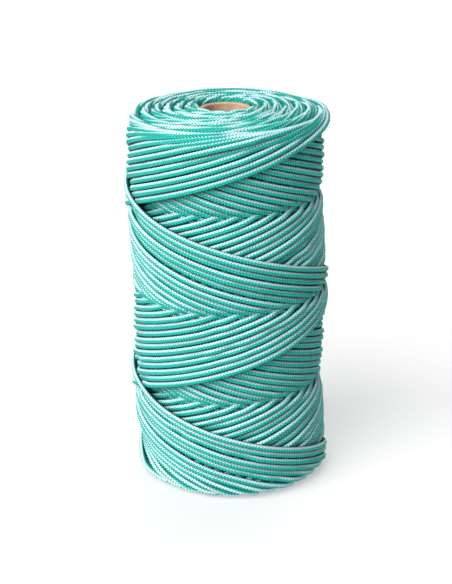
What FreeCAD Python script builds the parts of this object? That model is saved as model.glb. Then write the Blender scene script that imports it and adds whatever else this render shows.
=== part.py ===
import FreeCAD, Part

import os

# Fishing line spool: braided cord cross-wound on a plain cardboard tube, with no flanges.
# The frame is in millimetres. The origin is at the centre of the face that the package
# stands on, and +Z runs up the bore.

# Driving dimensions.
CORD_DIAMETER = 2.5
TRAVERSE = 155.5
PACKAGE_DIAMETER = 80.0
BORE_DIAMETER = 18.0
TUBE_WALL = 2.0
TUBE_LENGTH = 154.0
END_FLAT_DIAMETER = 52.0
END_TAPER = 2.0
SHOULDER_RADIUS = 6.0
TUBE_RIM_BREAK = 0.4

# The cord's centre line turns back half a diameter inside each end face, so the winding
# is one cord diameter taller than its traverse.
WINDING_HEIGHT = TRAVERSE + CORD_DIAMETER
PACKAGE_RADIUS = PACKAGE_DIAMETER / 2
BORE_RADIUS = BORE_DIAMETER / 2
TUBE_RADIUS = BORE_RADIUS + TUBE_WALL

# The tube is a little shorter than the winding, so its rims sit just inside the end faces.
TUBE_BOTTOM = (WINDING_HEIGHT - TUBE_LENGTH) / 2

# The first turns lean away from the tube at both ends by the cord's own roundness.
COLLAR_RADIUS = CORD_DIAMETER / 2


def turned(profile):
    """Solid of revolution about the Z axis from (radius, height) corners."""
    corners = [FreeCAD.Vector(radius, 0, height) for radius, height in profile]
    outline = Part.makePolygon(corners + corners[:1])
    return Part.Face(outline).revolve(FreeCAD.Vector(), FreeCAD.Vector(0, 0, 1), 360)


def circles(solid, radius):
    """The circular edges of a turned solid that have the given radius."""
    edges = []
    for edge in solid.Edges:
        is_circle = isinstance(edge.Curve, Part.Circle)
        if is_circle and abs(edge.Curve.Radius - radius) < 0.001:
            edges.append(edge)
    return edges


def core_tube():
    """Cardboard tube, with its cut rims slightly broken."""
    tube_top = TUBE_BOTTOM + TUBE_LENGTH
    tube = turned([
        (BORE_RADIUS, TUBE_BOTTOM),
        (TUBE_RADIUS, TUBE_BOTTOM),
        (TUBE_RADIUS, tube_top),
        (BORE_RADIUS, tube_top),
    ])
    rims = circles(tube, BORE_RADIUS) + circles(tube, TUBE_RADIUS)
    return tube.makeChamfer(TUBE_RIM_BREAK, rims)


def cord_winding():
    """Outer shape of the wound cord: a thick sleeve whose end faces fall away to the rim."""
    flat_radius = END_FLAT_DIAMETER / 2
    sleeve = turned([
        (TUBE_RADIUS, 0),
        (flat_radius, 0),
        (PACKAGE_RADIUS, END_TAPER),
        (PACKAGE_RADIUS, WINDING_HEIGHT - END_TAPER),
        (flat_radius, WINDING_HEIGHT),
        (TUBE_RADIUS, WINDING_HEIGHT),
    ])
    sleeve = sleeve.makeFillet(SHOULDER_RADIUS, circles(sleeve, PACKAGE_RADIUS))
    return sleeve.makeFillet(COLLAR_RADIUS, circles(sleeve, TUBE_RADIUS))


NODES = {
    "core_tube": core_tube,
    "cord_winding": cord_winding,
}

os.makedirs("parts", exist_ok=True)
for name, build in NODES.items():
    shape = build()
    shape.exportStep(os.path.join("parts", name + ".step"))
    print(name, "solids", len(shape.Solids), "valid", shape.isValid(), "volume", round(shape.Volume, 1))
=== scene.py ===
import math

import bpy
import numpy as np
from mathutils import Matrix, Vector


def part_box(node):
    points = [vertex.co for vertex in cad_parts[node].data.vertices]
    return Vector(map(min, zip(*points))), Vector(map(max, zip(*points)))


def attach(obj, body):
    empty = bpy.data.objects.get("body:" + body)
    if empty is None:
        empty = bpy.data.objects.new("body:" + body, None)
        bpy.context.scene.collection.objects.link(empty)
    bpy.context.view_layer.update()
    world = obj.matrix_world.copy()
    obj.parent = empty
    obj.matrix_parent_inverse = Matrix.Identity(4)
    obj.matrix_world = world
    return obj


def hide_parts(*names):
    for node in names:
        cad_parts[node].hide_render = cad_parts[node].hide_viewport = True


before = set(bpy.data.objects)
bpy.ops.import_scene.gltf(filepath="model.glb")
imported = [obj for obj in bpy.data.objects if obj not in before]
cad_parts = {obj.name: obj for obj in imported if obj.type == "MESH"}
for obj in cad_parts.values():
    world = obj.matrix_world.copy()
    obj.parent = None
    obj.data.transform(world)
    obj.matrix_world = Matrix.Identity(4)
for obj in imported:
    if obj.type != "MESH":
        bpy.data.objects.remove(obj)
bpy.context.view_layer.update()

# ---------------------------------------------------------------------------
# Dimensions. The winding is worked out in millimetres and meshed in metres.
# ---------------------------------------------------------------------------
MM = 0.001
FULL_TURN = 2 * math.pi

WINDING_LOW, WINDING_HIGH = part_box("cord_winding")
TUBE_LOW, TUBE_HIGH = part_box("core_tube")
PACKAGE_HEIGHT = (WINDING_HIGH[2] - WINDING_LOW[2]) / MM
PACKAGE_RADIUS = (WINDING_HIGH[0] - WINDING_LOW[0]) / 2 / MM
TUBE_RADIUS = (TUBE_HIGH[0] - TUBE_LOW[0]) / 2 / MM

# The cord runs up and down the tube, two turns each way, and every double stroke
# starts a little further round, so that its strands lie beside the last ones. A stroke
# is half of such a double stroke. Strands cross every CROSSING_SPACING up the package,
# and strokes would meet at LOW_CORNER if the turn at the lower end were sharp.
CORD_DIAMETER = 2.5
CORD_RADIUS = CORD_DIAMETER / 2
TURNS_PER_STROKE = 2
CROSSING_SPACING = 39.8
LOW_CORNER = 1.3
STRAND_SPACING = 2.68
SPACING_SPREAD = 0.015
WANDER = 0.06
WANDER_PERIOD = 90
LAST_TURN_ANGLE = math.radians(28)
FILLED_RADIUS = PACKAGE_RADIUS - 0.8
PACKING = 0.85

# Half-angles over which the cord may turn round at each end, wider in the outer layers.
# After the cord's start, TIGHTEST_BEND is the least radius of a turn along the surface.
LOW_TURNS = np.radians(np.linspace(6, 28, 9))
HIGH_TURNS = np.radians(np.linspace(50, 95, 10))
LOW_WIDENING = math.radians(6)
HIGH_WIDENING = math.radians(25)
WIDENING_POWER = 4
CHOICE_SPAN = math.radians(80)
TIGHTEST_BEND = 2 * CORD_DIAMETER

# Seeds for the small wander of the strands and for the cord's own twist.
WINDING_SEED = 3
TWIST_SEED = 11

# How a strand settles on what is already wound. Strands bed into the ones below,
# which leaves a part of the steps between layers, less on the side than at the ends.
SIDE_STEPS = 0.2
END_STEPS = 0.75
END_ZONE = 10.0
MIDDLE_SHARE = 0.2
BRIDGE_LENGTH = 14.0
STIFF_LENGTH = 3.2

# How far a strand is pressed under the ones laid after it.
CONTACT_WIDTH = 0.96 * CORD_DIAMETER
CONTACT_PRESS = 0.25
MOST_PRESSED = 1.5
YIELD_CURVE = 0.12

# Fineness of the path and of the grid that it is laid on.
ANGLE_STEP = math.radians(1.0)
LEAD_POINTS = 30
JOINED_POINTS = 8
GRID_ANGLES = 360
GRID_HEIGHTS = 480
GRID_MARGIN = 3.0
FOOTPRINT_POINTS = 15
LEAST_FILLED = 0.01


def smooth(part):
    """Ease a part from 0 to 1, level at both of its ends."""
    return part * part * (3 - 2 * part)


class WoundSurface:
    """How far out the cord laid so far fills the package, on a grid of angle and height."""

    def __init__(self):
        self.low = -GRID_MARGIN
        self.cell = (PACKAGE_HEIGHT + 2 * GRID_MARGIN) / GRID_HEIGHTS
        self.heights = self.low + (np.arange(GRID_HEIGHTS) + 0.5) * self.cell
        self.filled = np.full((GRID_ANGLES, GRID_HEIGHTS), TUBE_RADIUS)
        self.even_out()

    def even_out(self):
        """Work out the mean radius, and the surface that the next strands rest on.

        Rows that get more cord than the middle of the package are packed tighter, and
        the steps between layers are partly bedded in.
        """
        rows = self.filled.mean(axis=0) - TUBE_RADIUS
        middle = np.abs(self.heights - PACKAGE_HEIGHT / 2) < MIDDLE_SHARE * PACKAGE_HEIGHT
        self.radius = TUBE_RADIUS + rows[middle].mean()
        thickness = self.radius - TUBE_RADIUS + LEAST_FILLED
        scale = thickness / np.maximum(rows, thickness)
        self.even = TUBE_RADIUS + (self.filled - TUBE_RADIUS) * scale
        from_end = np.minimum(self.heights, PACKAGE_HEIGHT - self.heights)
        inside = np.clip(from_end / END_ZONE, 0, 1)
        steps = END_STEPS + (SIDE_STEPS - END_STEPS) * smooth(inside)
        self.even = self.radius + (self.even - self.radius) * steps

    def footprint(self, angle, height, radius, width):
        """Cells across a strand, and the distance of each from its middle."""
        across = np.linspace(-width / 2, width / 2, FOOTPRINT_POINTS)[:, None]
        along = np.gradient(angle) * radius
        up = np.gradient(height)
        length = np.hypot(along, up)
        side_angle = angle - across * up / length / radius
        side_height = height + across * along / length
        column = np.floor(side_angle / FULL_TURN * GRID_ANGLES).astype(int) % GRID_ANGLES
        row = np.clip((side_height - self.low) / self.cell, 0, GRID_HEIGHTS - 1).astype(int)
        return column, row, across

    def shares(self, across):
        """A strand's weight on each cell: full at its middle, nothing where the next one lies."""
        weight = 1 - np.abs(across) / (across[-1] + across[-1] / FOOTPRINT_POINTS)
        return weight / weight.sum()

    def level(self, angle, height, radius):
        """How far out the package is filled under each point of a strand."""
        column, row, across = self.footprint(angle, height, radius, 2 * STRAND_SPACING)
        return (self.even[column, row] * self.shares(across)).sum(axis=0)

    def lay(self, angle, height, radius):
        """Add a strand's own volume to the cells that it covers."""
        column, row, across = self.footprint(angle, height, radius, 2 * STRAND_SPACING)
        length = np.hypot(np.gradient(angle) * radius, np.gradient(height))
        volume = math.pi * CORD_RADIUS**2 / PACKING * length
        cell_area = radius * FULL_TURN / GRID_ANGLES * self.cell
        np.add.at(self.filled, (column, row), volume * self.shares(across) / cell_area)


def pull_taut(centre, step, curvature):
    """Bridge the hollows under a taut strand: it dips no more than a straight line would."""
    reach = int(BRIDGE_LENGTH / step)
    shifts = range(-reach, reach + 1)
    padded = np.pad(centre, reach, mode="edge")
    raised = np.full_like(padded, -np.inf)
    for shift in shifts:
        drop = 0.5 * curvature * (shift * step) ** 2
        raised = np.maximum(raised, np.roll(padded, shift) - drop)
    taut = np.full_like(padded, np.inf)
    for shift in shifts:
        drop = 0.5 * curvature * (shift * step) ** 2
        taut = np.minimum(taut, np.roll(raised, shift) + drop)
    return taut[reach:-reach]


def press_down(limit, step):
    """Lower a strand smoothly to stay under its limit everywhere."""
    reach = int(BRIDGE_LENGTH / step)
    padded = np.pad(limit, reach, mode="edge")
    lowered = padded.copy()
    for shift in range(-reach, reach + 1):
        rise = 0.5 * YIELD_CURVE * (shift * step) ** 2
        lowered = np.minimum(lowered, np.roll(padded, shift) + rise)
    return blur(lowered[reach:-reach], STIFF_LENGTH / 2 / step)


def blur(values, sigma):
    """Smooth a row of values with a bell curve whose spread is sigma values."""
    reach = int(3 * sigma) + 1
    weights = np.exp(-0.5 * (np.arange(-reach, reach + 1) / sigma) ** 2)
    padded = np.pad(values, reach, mode="edge")
    return np.convolve(padded, weights / weights.sum(), mode="valid")


def slow_noise(random, count, period):
    """Smooth random values of about unit size, with one new value each period."""
    knots = random.standard_normal(int(count / period) + 4)
    place = np.arange(count) / period
    whole = place.astype(int)
    part = smooth(place - whole)
    return knots[whole] * (1 - part) + knots[whole + 1] * part


def turnaround(offset, half_angle, climb):
    """Distance from the corner where the two strokes would meet, rounded by a parabola."""
    rounded = climb * (half_angle / 2 + offset**2 / (2 * half_angle))
    return np.where(np.abs(offset) < half_angle, rounded, climb * np.abs(offset))


def settled_turn(surface, radius, climb, corner, direction, half_angles):
    """The rounding at a corner that rests lowest on what is there already."""
    corner_angle, corner_height = corner
    offset = np.arange(-CHOICE_SPAN, CHOICE_SPAN, ANGLE_STEP)
    levels = []
    for half_angle in half_angles:
        height = corner_height + direction * turnaround(offset, half_angle, climb)
        levels.append(surface.level(corner_angle + offset, height, radius).mean())
    return half_angles[int(np.argmin(levels))]


def turn_choices(radius, climb, thickness):
    """The half-angles to choose from at the lower and the upper end, at a wound thickness."""
    grown = thickness / (PACKAGE_RADIUS - TUBE_RADIUS)
    low_turns = LOW_TURNS + LOW_WIDENING * grown**WIDENING_POWER
    low_turns = np.maximum(low_turns, TIGHTEST_BEND * climb / radius**2)
    high_turns = HIGH_TURNS + HIGH_WIDENING * grown**WIDENING_POWER
    return low_turns, high_turns


def lay_stroke(surface, angle, height, radius, lean, last_centre):
    """Rest one stroke on the surface, pulled taut, and fill the surface where it lies."""
    step = radius * ANGLE_STEP / math.cos(lean)
    curvature = math.cos(lean) ** 2 / radius
    lead = len(last_centre)
    rest = surface.level(angle, height, radius) + CORD_RADIUS
    rest[:lead] = last_centre
    taut = blur(pull_taut(rest, step, curvature), STIFF_LENGTH / step)[lead:]
    surface.lay(angle[lead:], height[lead:], radius)
    return np.stack([angle[lead:], taut, height[lead:]])


def wind_cord(seed):
    """Lay the cord stroke by stroke; returns a list of strokes of angle, radius and height."""
    random = np.random.default_rng(seed)
    surface = WoundSurface()
    climb = CROSSING_SPACING / math.pi
    start = 0.0
    last_turn = LOW_TURNS[0]
    strokes = []
    while surface.radius < FILLED_RADIUS:
        radius = surface.radius + CORD_RADIUS
        low_turns, high_turns = turn_choices(radius, climb, surface.radius - TUBE_RADIUS)
        lean = math.atan(climb / radius)
        shift = STRAND_SPACING / (radius * math.sin(lean))
        shift *= 1 + SPACING_SPREAD * random.standard_normal()
        half = FULL_TURN * TURNS_PER_STROKE + shift / 2
        high_corner = LOW_CORNER + climb * half
        top = (start + half, high_corner)
        top_turn = settled_turn(surface, radius, climb, top, -1, high_turns)
        bottom = (start + 2 * half, LOW_CORNER)
        next_turn = settled_turn(surface, radius, climb, bottom, 1, low_turns)
        count = int(round(half / ANGLE_STEP))
        phase = np.arange(2 * count) * (half / count)
        from_low = LOW_CORNER + turnaround(phase, last_turn, climb)
        from_high = high_corner - turnaround(phase - half, top_turn, climb)
        from_next = LOW_CORNER + turnaround(phase - 2 * half, next_turn, climb)
        height = np.where(phase < half / 2, from_low, from_high)
        height = np.where(phase > 1.5 * half, from_next, height)
        height = height + WANDER * slow_noise(random, 2 * count, WANDER_PERIOD)
        angle = start + phase
        up = slice(0, count)
        down = slice(count - LEAD_POINTS, 2 * count)
        strokes.append(lay_stroke(surface, angle[up], height[up], radius, lean, []))
        lead = strokes[-1][1, -LEAD_POINTS:]
        strokes.append(lay_stroke(surface, angle[down], height[down], radius, lean, lead))
        surface.even_out()
        start += 2 * half
        last_turn = next_turn
    for stroke in strokes:
        stroke[0] += LAST_TURN_ANGLE - start
    return strokes


def press_under(strokes):
    """Push every stroke under the ones laid after it, so that no strand shows through another."""
    surface = WoundSurface()
    ceiling = np.full_like(surface.filled, np.inf)
    joined = []
    for stroke in reversed(strokes):
        angle, centre, height = stroke
        radius = centre.mean()
        column, row, across = surface.footprint(angle, height, radius, CONTACT_WIDTH)
        rise = np.sqrt(CORD_RADIUS**2 - across**2)
        limit = (ceiling[column, row] - rise).min(axis=0) + CONTACT_PRESS
        step = radius * ANGLE_STEP
        limit = np.maximum(np.minimum(limit, centre), centre - MOST_PRESSED)
        limit = np.maximum(limit, TUBE_RADIUS + CORD_RADIUS)
        stroke[1] = press_down(limit, step)
        underside = stroke[1] - rise
        # A stroke's first points carry on from the stroke before it, so they press only
        # on the ones before that.
        for cells, values in joined:
            np.minimum.at(ceiling, cells, values)
        near, far = slice(0, JOINED_POINTS), slice(JOINED_POINTS, None)
        np.minimum.at(ceiling, (column[:, far], row[:, far]), underside[:, far])
        joined = [((column[:, near], row[:, near]), underside[:, near])]
    return np.concatenate(strokes, axis=1)


# ---------------------------------------------------------------------------
# Cord mesh: a ring of corners at every half stitch where the cord shows, and only every
# fourth of them where it is buried. Its outer end, the tail, sinks in among the strands.
# ---------------------------------------------------------------------------
STITCH_LENGTH = 1.3
RING_SPACING = STITCH_LENGTH / 2
INNER_RING_STEP = 4
WALES = 8
SIDES = 2 * WALES
STITCH_HEIGHT = 0.12
WALE_GROOVE = 0.12
TWIST_SPREAD = math.radians(6)
END_TWIST_SPREAD = math.radians(45)
LOWER_END_TWIST = math.radians(-80)
UPPER_END_TWIST = math.radians(22)
TWIST_PERIOD = 150
TAIL_LENGTH = 30.0
TAIL_DEPTH = 3.5
TIP_SIZE = 0.05
END_FACE_SHARE = 0.1
SEARCH_CELLS = 360
SEEN_DEPTH = 0.8 * CORD_DIAMETER
PIECES = 15
BAKE_MARGIN = 0.06


def outermost(angle, across, outward):
    """True where a strand is at or near the outside, at its angle and place across."""
    column = (angle / FULL_TURN * SEARCH_CELLS).astype(int) % SEARCH_CELLS
    row = (across - across.min()).astype(int)
    reached = np.full((SEARCH_CELLS, row.max() + 1), -np.inf)
    np.maximum.at(reached, (column, row), outward)
    around = reached.copy()
    for turn in (-1, 0, 1):
        for move in (-1, 0, 1):
            around = np.maximum(around, np.roll(reached, (turn, move), axis=(0, 1)))
    return outward > around[column, row] - SEEN_DEPTH


def unit(vectors):
    """The same directions, each of length 1."""
    return vectors / np.linalg.norm(vectors, axis=1)[:, None]


def cord_rings(path, random):
    """Evenly spaced rings along the cord: place, frame, size, and which of them show."""
    angle, radius, height = path
    points = np.stack([radius * np.cos(angle), radius * np.sin(angle), height], axis=1)
    gaps = np.linalg.norm(np.diff(points, axis=0), axis=1)
    measured = np.concatenate([[0], np.cumsum(gaps)])
    number = np.arange(int(measured[-1] / RING_SPACING))
    along = number * RING_SPACING
    to_end = along[-1] - along
    angle, radius, height = (np.interp(along, measured, values) for values in path)
    from_end = np.minimum(height, PACKAGE_HEIGHT - height)
    at_end = from_end < END_FACE_SHARE * PACKAGE_HEIGHT
    upper = height > PACKAGE_HEIGHT / 2
    shows = outermost(angle, height, radius)
    shows |= outermost(angle, radius, height) & at_end & upper
    shows |= outermost(angle, radius, -height) & at_end & ~upper
    radius = radius - TAIL_DEPTH * np.clip(1 - to_end / TAIL_LENGTH, 0, 1) ** 2
    outward = np.stack([np.cos(angle), np.sin(angle), np.zeros_like(angle)], axis=1)
    points = outward * radius[:, None]
    points[:, 2] = height
    tangent = unit(np.gradient(points, axis=0))
    outward = unit(outward - tangent * (outward * tangent).sum(axis=1)[:, None])
    from_tip = np.minimum(np.minimum(along, to_end) / CORD_RADIUS, 1)
    near_end = np.clip(1 - from_end / END_ZONE, 0, 1)
    twist_spread = TWIST_SPREAD + (END_TWIST_SPREAD - TWIST_SPREAD) * near_end
    twist = twist_spread * slow_noise(random, len(along), TWIST_PERIOD)
    twist += np.where(upper, UPPER_END_TWIST, LOWER_END_TWIST) * smooth(near_end)
    rings = {
        "number": number,
        "along": along,
        "point": points,
        "outward": outward,
        "left": np.cross(outward, tangent),
        "size": CORD_RADIUS * np.sqrt(np.maximum(1 - (1 - from_tip) ** 2, TIP_SIZE)),
        "twist": twist,
    }
    kept = shows | (number % INNER_RING_STEP == 0) | (number == number[-1])
    return {name: values[kept] for name, values in rings.items()}


def cord_vertices(rings):
    """Braided surface: eight wales of stitches, raised in turn, with grooves between them."""
    side = np.arange(SIDES)
    turn = FULL_TURN * side / SIDES + rings["twist"][:, None]
    on_wale = side % 2 == 1
    raised = (rings["number"][:, None] + side // 2) % 2 == 0
    stitch = np.where(raised, STITCH_HEIGHT, -STITCH_HEIGHT)
    relief = np.where(on_wale, stitch, -WALE_GROOVE)
    size = rings["size"][:, None] + relief * rings["size"][:, None] / CORD_RADIUS
    outward = (np.cos(turn) * size)[..., None] * rings["outward"][:, None]
    left = (np.sin(turn) * size)[..., None] * rings["left"][:, None]
    return (rings["point"][:, None] + outward + left) * MM


def cord_faces(ring_count):
    """Quads between rings, then a cap on each end, as one list of corners and face starts."""
    ring = np.arange(ring_count - 1)[:, None] * SIDES
    side = np.arange(SIDES)[None]
    after = (side + 1) % SIDES
    next_ring = ring + SIDES
    quads = np.stack([ring + side, ring + after, next_ring + after, next_ring + side], axis=-1)
    first_cap = np.arange(SIDES)[::-1]
    last_cap = np.arange(SIDES) + (ring_count - 1) * SIDES
    corners = np.concatenate([quads.ravel(), first_cap, last_cap])
    starts = np.arange((ring_count - 1) * SIDES + 1) * 4
    return corners, np.append(starts, starts[-1] + SIDES)


def corner_values(first, second, order):
    """One value for each corner of every quad, then zeros for the two caps' corners."""
    quads = np.stack([(first, second)[index] for index in order], axis=-1)
    return np.concatenate([quads.ravel(), np.zeros(2 * SIDES)])


def cord_layers(rings):
    """UV layers: millimetres along and turns around, and strips that fill a square."""
    count = len(rings["along"]) - 1
    shape = (count, SIDES)
    turn = np.broadcast_to(np.arange(SIDES) / SIDES, shape)
    start = np.broadcast_to(rings["along"][:-1, None], shape)
    end = np.broadcast_to(rings["along"][1:, None], shape)
    rows = math.ceil(math.sqrt(count * RING_SPACING / (FULL_TURN * CORD_RADIUS)))
    row_rings = math.ceil(count / rows)
    place = np.arange(count)
    strip_row = np.broadcast_to((place // row_rings)[:, None], shape)
    strip_place = np.broadcast_to((place % row_rings)[:, None], shape)
    across = BAKE_MARGIN + (1 - 2 * BAKE_MARGIN) * turn
    side = (1 - 2 * BAKE_MARGIN) / SIDES
    usable = 1 - 2 * BAKE_MARGIN / rows
    shift = BAKE_MARGIN / rows
    along_order, around_order = (0, 0, 1, 1), (0, 1, 1, 0)
    return {
        "CordUV": (
            corner_values(start, end, along_order),
            corner_values(turn, turn + 1 / SIDES, around_order),
        ),
        "OFBake": (
            corner_values(strip_place, strip_place + 1, along_order) / row_rings * usable + shift,
            corner_values(strip_row + across, strip_row + across + side, around_order) / rows,
        ),
    }


def cord_length(name, rings, material):
    """One closed length of the cord as a mesh."""
    vertices = cord_vertices(rings)
    corners, starts = cord_faces(len(rings["along"]))
    mesh = bpy.data.meshes.new(name)
    mesh.vertices.add(vertices.size // 3)
    mesh.vertices.foreach_set("co", vertices.astype(np.float32).ravel())
    mesh.loops.add(len(corners))
    mesh.loops.foreach_set("vertex_index", corners.astype(np.int32))
    mesh.polygons.add(len(starts))
    mesh.polygons.foreach_set("loop_start", starts.astype(np.int32))
    mesh.polygons.foreach_set("use_smooth", np.ones(len(starts), dtype=bool))
    mesh.update(calc_edges=True)
    for layer_name, (first, second) in cord_layers(rings).items():
        layer = mesh.uv_layers.new(name=layer_name)
        layer.data.foreach_set("uv", np.stack([first, second], axis=1).astype(np.float32).ravel())
    mesh.materials.append(material)
    piece = bpy.data.objects.new(name, mesh)
    bpy.context.collection.objects.link(piece)
    return piece


# ---------------------------------------------------------------------------
# Materials
# ---------------------------------------------------------------------------
class Graph:
    """A new material, with short ways to add nodes to it."""

    def __init__(self, name):
        self.material = bpy.data.materials.new(name)
        self.material.use_nodes = True
        self.nodes = self.material.node_tree.nodes
        self.links = self.material.node_tree.links
        self.shader = self.nodes["Principled BSDF"]

    def feed(self, socket, value):
        if isinstance(value, bpy.types.NodeSocket):
            self.links.new(value, socket)
        else:
            socket.default_value = value

    def maths(self, operation, *values):
        node = self.nodes.new("ShaderNodeMath")
        node.operation = operation
        for socket, value in zip(node.inputs, values):
            self.feed(socket, value)
        return node.outputs[0]

    def spread(self, value, low, high, to_low=0.0, to_high=1.0):
        """Smoothly map the range low..high onto to_low..to_high."""
        node = self.nodes.new("ShaderNodeMapRange")
        node.interpolation_type = "SMOOTHSTEP"
        for socket, number in zip(node.inputs, (value, low, high, to_low, to_high)):
            self.feed(socket, number)
        return node.outputs[0]

    def mix(self, factor, first, second, blend="MIX"):
        node = self.nodes.new("ShaderNodeMix")
        node.data_type = "RGBA"
        node.blend_type = blend
        self.feed(node.inputs["Factor"], factor)
        self.feed(node.inputs["A"], first)
        self.feed(node.inputs["B"], second)
        return node.outputs["Result"]

    def noise(self, vector, scale, detail=2.0):
        node = self.nodes.new("ShaderNodeTexNoise")
        node.inputs["Scale"].default_value = scale
        node.inputs["Detail"].default_value = detail
        self.links.new(vector, node.inputs["Vector"])
        return node.outputs["Fac"]

    def join(self, x, y, z=0.0):
        node = self.nodes.new("ShaderNodeCombineXYZ")
        for socket, value in zip(node.inputs, (x, y, z)):
            self.feed(socket, value)
        return node.outputs[0]

    def split(self, vector):
        node = self.nodes.new("ShaderNodeSeparateXYZ")
        self.links.new(vector, node.inputs[0])
        return node.outputs

    def bump(self, height, distance):
        node = self.nodes.new("ShaderNodeBump")
        node.inputs["Distance"].default_value = distance
        self.links.new(height, node.inputs["Height"])
        self.links.new(node.outputs["Normal"], self.shader.inputs["Normal"])


# The cord's colours. The second of each pair is painted shade for the seams between stitches.
TEAL, TEAL_SEAM_SHADE = (0.022, 0.60, 0.51, 1), (0.0, 0.13, 0.11, 1)
WHITE, WHITE_SEAM_SHADE = (0.68, 0.89, 0.94, 1), (0.35, 0.62, 0.62, 1)

# Places around the cord are in turns, from its outer side upwards.
STRIPE_CENTRE = 0.165
STRIPE_HALF_WIDTH = 0.08
STRIPE_TOOTH = 0.045
STRIPE_BLUR = 0.008
STITCH_SLANT = 0.7

# Painted shade: each strand's inner side, where little light gets to the cord, is painted darker.
# At the ends of the package the strands lie on their sides and show more of it, and the painted
# shade is weaker there.
SHADED = (0.02, 0.16, 0.14, 1)
SHADED_CENTRE = 0.56
SHADED_HALF_WIDTH = 0.315
SHADED_FADE = 0.05
SHADED_AT_END = 0.25
SHADED_END_ZONE = 4.0

CORD_SHINE = 0.2
CORD_RELIEF = 0.0002
FIBRE_RELIEF = 0.35
FIBRES_AROUND = 90.0
FIBRES_ALONG = 1.5
FADE_ALONG = 0.02


def distance_around(graph, around, centre):
    """Turns from a place around the cord, from -0.5 to 0.5."""
    turned = graph.maths("ADD", around, 0.5 - centre)
    return graph.maths("SUBTRACT", graph.maths("FRACT", turned), 0.5)


def scaled(graph, colour, factor):
    """A colour made lighter or darker."""
    return graph.mix(1.0, colour, graph.join(factor, factor, factor), "MULTIPLY")


def stitches(graph, along, around):
    """Place along a stitch, its slant, and its rounded form, on wales that slant in turn."""
    maths = graph.maths
    wale = maths("MULTIPLY", around, float(WALES))
    across = maths("SUBTRACT", maths("FRACT", wale), 0.5)
    odd = maths("FLOORED_MODULO", maths("FLOOR", wale), 2.0)
    hand = maths("SUBTRACT", maths("MULTIPLY", odd, 2.0), 1.0)
    slant = maths("MULTIPLY", hand, across)
    half_stitch = maths("MULTIPLY", maths("ADD", odd, 1.0), 0.5)
    count = maths("ADD", maths("DIVIDE", along, STITCH_LENGTH), half_stitch)
    count = maths("ADD", count, maths("MULTIPLY", slant, STITCH_SLANT))
    stitch = maths("SUBTRACT", maths("FRACT", count), 0.5)
    rounded_along = graph.spread(maths("ABSOLUTE", stitch), 0.5, 0.15)
    rounded_across = graph.spread(maths("ABSOLUTE", across), 0.8, 0.3)
    return stitch, slant, maths("MULTIPLY", rounded_along, rounded_across)


def stripe(graph, stitch, around):
    """1 on the white stripe, whose edges follow the stitches like teeth."""
    tooth = graph.maths("MULTIPLY", stitch, 2 * STRIPE_TOOTH)
    edge = graph.maths("ADD", STRIPE_HALF_WIDTH, tooth)
    away = graph.maths("ABSOLUTE", distance_around(graph, around, STRIPE_CENTRE))
    inside = graph.maths("SUBTRACT", edge, away)
    return graph.spread(inside, -STRIPE_BLUR, STRIPE_BLUR)


def painted_shade_side(graph, around):
    """1 where the cord's inner side gets painted shade, and less of it near the ends of the
    package.
    """
    away = graph.maths("ABSOLUTE", distance_around(graph, around, SHADED_CENTRE))
    edge, full = SHADED_HALF_WIDTH + SHADED_FADE, SHADED_HALF_WIDTH - SHADED_FADE
    hidden = graph.spread(away, edge, full)
    place = graph.nodes.new("ShaderNodeTexCoord").outputs["Object"]
    height = graph.split(place)[2]
    from_top = graph.maths("SUBTRACT", PACKAGE_HEIGHT * MM, height)
    from_end = graph.maths("MINIMUM", height, from_top)
    near, far = SHADED_END_ZONE * MM, END_ZONE * MM
    by_height = graph.spread(from_end, near, far, SHADED_AT_END, 1.0)
    return graph.maths("MULTIPLY", hidden, by_height)


def braided_cord():
    """Plain teal braid with one white stripe, its edges toothed by the stitches."""
    graph = Graph("braided_cord")
    maths = graph.maths
    place = graph.nodes.new("ShaderNodeUVMap")
    place.uv_map = "CordUV"
    along, around = graph.split(place.outputs["UV"])[:2]
    stitch, slant, pillow = stitches(graph, along, around)

    fibre_along = maths("MULTIPLY", along, FIBRES_ALONG)
    fibre_around = maths("MULTIPLY", around, FIBRES_AROUND)
    fibres = graph.noise(graph.join(fibre_along, fibre_around, slant), 1.0, 3.0)
    fading = graph.noise(graph.join(maths("MULTIPLY", along, FADE_ALONG), 0.0), 1.0)

    # Painted shade: each colour darkens from the middle of a stitch towards its seams.
    teal = graph.mix(pillow, TEAL_SEAM_SHADE, TEAL)
    white = graph.mix(pillow, WHITE_SEAM_SHADE, WHITE)
    colour = graph.mix(stripe(graph, stitch, around), teal, white)
    fibre_shade = graph.spread(fibres, 0.3, 0.7, -0.12, 0.12)
    fading_shade = graph.spread(fading, 0.3, 0.7, 0.92, 1.06)
    colour = scaled(graph, colour, maths("ADD", fibre_shade, fading_shade))
    # Painted shade: the colour multiplied by SHADED on the cord's inner side.
    dark = graph.mix(1.0, colour, SHADED, "MULTIPLY")
    colour = graph.mix(painted_shade_side(graph, around), colour, dark)

    graph.feed(graph.shader.inputs["Base Color"], colour)
    graph.feed(graph.shader.inputs["Roughness"], graph.spread(fibres, 0.2, 0.8, 0.42, 0.62))
    graph.shader.inputs["Specular IOR Level"].default_value = CORD_SHINE
    graph.bump(maths("ADD", pillow, maths("MULTIPLY", fibres, FIBRE_RELIEF)), CORD_RELIEF)
    return graph.material


# The tube's colours, and its seam and plies in metres.
KRAFT = (0.47, 0.30, 0.19, 1)
PALE_KRAFT = (0.60, 0.42, 0.29, 1)
DARK_KRAFT = (0.22, 0.12, 0.07, 1)
SEAM_PITCH = 0.032
SEAM_DARKNESS = 0.7
PLY_THICKNESS = 0.00042
PLY_DARKNESS = 0.45
BOARD_FIBRE_SCALE = 2600.0
BLOTCH_SCALE = 120.0
KRAFT_RELIEF = 0.0001


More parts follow.
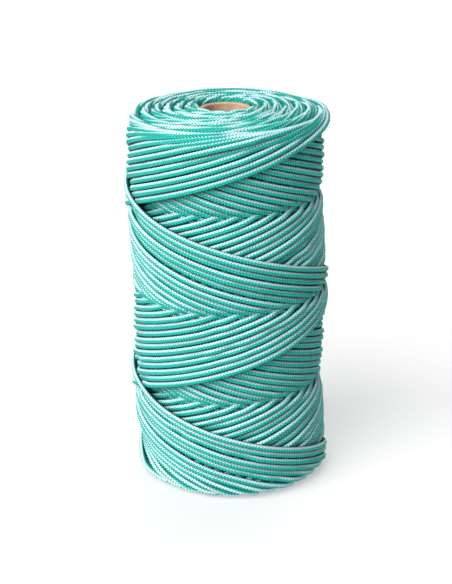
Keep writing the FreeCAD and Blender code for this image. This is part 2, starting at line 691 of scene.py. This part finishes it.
def cardboard():
    """Spiral-wound kraft tube: a ply seam round the walls and ply edges on the rims."""
    graph = Graph("kraft_cardboard")
    maths = graph.maths
    place = graph.nodes.new("ShaderNodeTexCoord").outputs["Object"]
    x, y, z = graph.split(place)

    turn = maths("DIVIDE", maths("ARCTAN2", y, x), FULL_TURN)
    spiral = maths("FRACT", maths("ADD", maths("DIVIDE", z, SEAM_PITCH), turn))
    seam = graph.spread(maths("ABSOLUTE", maths("SUBTRACT", spiral, 0.5)), 0.016, 0.0)

    square = maths("ADD", maths("MULTIPLY", x, x), maths("MULTIPLY", y, y))
    plies = maths("FRACT", maths("DIVIDE", maths("SQRT", square), PLY_THICKNESS))
    ply_edge = graph.spread(maths("ABSOLUTE", maths("SUBTRACT", plies, 0.5)), 0.3, 0.5)
    normal = graph.split(graph.nodes.new("ShaderNodeNewGeometry").outputs["Normal"])[2]
    on_rim = graph.spread(maths("ABSOLUTE", normal), 0.7, 0.95)
    ply_line = maths("MULTIPLY", maths("MULTIPLY", ply_edge, on_rim), PLY_DARKNESS)
    dark = maths("MAXIMUM", maths("MULTIPLY", seam, SEAM_DARKNESS), ply_line)

    fibres = graph.noise(graph.join(x, y, maths("MULTIPLY", z, 0.25)), BOARD_FIBRE_SCALE, 4.0)
    blotches = graph.noise(place, BLOTCH_SCALE, 3.0)
    colour = graph.mix(graph.spread(fibres, 0.35, 0.7), KRAFT, PALE_KRAFT)
    colour = graph.mix(graph.spread(blotches, 0.45, 0.75, 0.0, 0.35), colour, DARK_KRAFT)
    colour = graph.mix(dark, colour, DARK_KRAFT)

    graph.feed(graph.shader.inputs["Base Color"], colour)
    graph.feed(graph.shader.inputs["Roughness"], graph.spread(fibres, 0.3, 0.7, 0.8, 0.95))
    graph.bump(maths("SUBTRACT", fibres, maths("MULTIPLY", dark, 1.2)), KRAFT_RELIEF)
    return graph.material


# ---------------------------------------------------------------------------
# Stage
# ---------------------------------------------------------------------------
CAMERA_DISTANCE = 0.64
CAMERA_ELEVATION = math.radians(20.5)
CAMERA_ROLL = math.radians(-1.0)
SENSOR_HEIGHT = 24.0
CAMERA_LENS = 62.8
CAMERA_SHIFT = (-0.0039, -0.0073)
SUN_SPREAD = math.radians(60)
FLOOR_SIZE = 3.0
FLOOR_GREY = (0.47, 0.47, 0.47, 1)
FLOOR_GLOW = 0.42
WORLD_STRENGTH = 0.2
PURE_WHITE = (1, 1, 1, 1)


def camera():
    """Looks down on the package from in front, very slightly rolled."""
    target = Vector((0, 0, PACKAGE_HEIGHT * MM / 2))
    data = bpy.data.cameras.new("camera")
    data.sensor_fit = "VERTICAL"
    data.sensor_height = SENSOR_HEIGHT
    data.lens = CAMERA_LENS
    data.shift_x, data.shift_y = CAMERA_SHIFT
    back = Vector((0, -math.cos(CAMERA_ELEVATION), math.sin(CAMERA_ELEVATION)))
    place = Matrix.Translation(target + back * CAMERA_DISTANCE)
    tilt = Matrix.Rotation(math.pi / 2 - CAMERA_ELEVATION, 4, "X")
    roll = Matrix.Rotation(CAMERA_ROLL, 4, "Z")
    obj = bpy.data.objects.new("camera", data)
    obj.matrix_world = place @ (tilt @ roll)
    bpy.context.collection.objects.link(obj)
    bpy.context.scene.camera = obj


def sun(name, direction, strength):
    """Soft light from far away, shining from the given direction."""
    data = bpy.data.lights.new(name, "SUN")
    data.energy = strength
    data.angle = SUN_SPREAD
    obj = bpy.data.objects.new(name, data)
    obj.rotation_euler = Vector(direction).to_track_quat("Z", "Y").to_euler()
    obj.location = Vector(direction)
    bpy.context.collection.objects.link(obj)


def floor():
    """A white ground that glows a little, so that the shadow on it stays faint."""
    mesh = bpy.data.meshes.new("floor")
    sides = [(-1, -1), (1, -1), (1, 1), (-1, 1)]
    corners = [(x * FLOOR_SIZE, y * FLOOR_SIZE, 0) for x, y in sides]
    mesh.from_pydata(corners, [], [(0, 1, 2, 3)])
    graph = Graph("floor")
    graph.shader.inputs["Base Color"].default_value = FLOOR_GREY
    graph.shader.inputs["Emission Color"].default_value = PURE_WHITE
    graph.shader.inputs["Emission Strength"].default_value = FLOOR_GLOW
    graph.shader.inputs["Roughness"].default_value = 0.9
    mesh.materials.append(graph.material)
    obj = bpy.data.objects.new("floor", mesh)
    bpy.context.collection.objects.link(obj)


def stage():
    """Camera, floor and lights. The plain denoising keeps the fine stitches sharp."""
    camera()
    floor()
    sun("key", (-0.7, -0.75, 0.8), 4.5)
    sun("top", (0.1, 0.7, 1.0), 1.4)
    world = bpy.data.worlds.new("world")
    world.use_nodes = True
    background = world.node_tree.nodes["Background"]
    background.inputs["Color"].default_value = PURE_WHITE
    background.inputs["Strength"].default_value = WORLD_STRENGTH
    bpy.context.scene.world = world
    bpy.context.scene.view_settings.view_transform = "Standard"
    bpy.context.scene.cycles.denoising_prefilter = "NONE"


# ---------------------------------------------------------------------------
# The whole object
# ---------------------------------------------------------------------------
path = press_under(wind_cord(WINDING_SEED))
rings = cord_rings(path, np.random.default_rng(TWIST_SEED))
print("cord length in metres:", round(rings["along"][-1] * MM, 1), "rings:", len(rings["along"]))
cord = braided_cord()
ends = np.linspace(0, len(rings["along"]) - 1, PIECES + 1).astype(int)
for index in range(PIECES):
    part = slice(ends[index], ends[index + 1] + 1)
    part_rings = {name: values[part] for name, values in rings.items()}
    piece = cord_length(f"cord_length_{index + 1:02d}", part_rings, cord)
    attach(piece, "root")
    if index == 0:
        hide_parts("cord_winding")

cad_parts["core_tube"].material_slots[0].material = cardboard()

stage()
